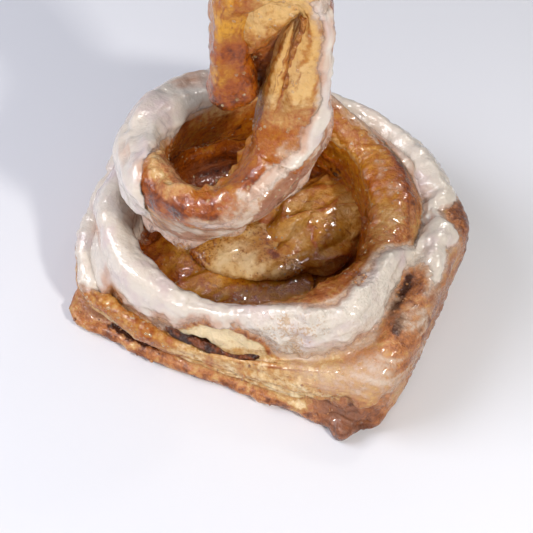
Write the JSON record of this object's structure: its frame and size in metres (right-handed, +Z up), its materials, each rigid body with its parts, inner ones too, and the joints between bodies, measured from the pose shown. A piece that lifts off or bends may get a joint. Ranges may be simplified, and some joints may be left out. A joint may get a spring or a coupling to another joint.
{
  "type": "cinnamon roll",
  "caption": "Iced cinnamon roll with its inner coil pulled up out of the middle, ending in a folded strip of dough.",
  "frame": {"origin": "middle of the roll's outline, on the surface that it stands on", "axes": "+Z up, along the pulled-up coil; -Y towards the flat front that shows the torn windings; +X to the right seen from the front"},
  "size_m": [0.1175, 0.1014, 0.1447],
  "materials": {
    "dough": "soft baked dough, golden brown, glazed in places",
    "filling": "sticky dark cinnamon filling",
    "icing": "wet cream-white icing"
  },
  "bodies": {
    "root": {"dough": "dough", "filling_inner": "filling", "filling_outer": "filling", "filling_coil": "filling", "icing_roll": "icing", "icing_coil": "icing"}
  },
  "joints": []
}
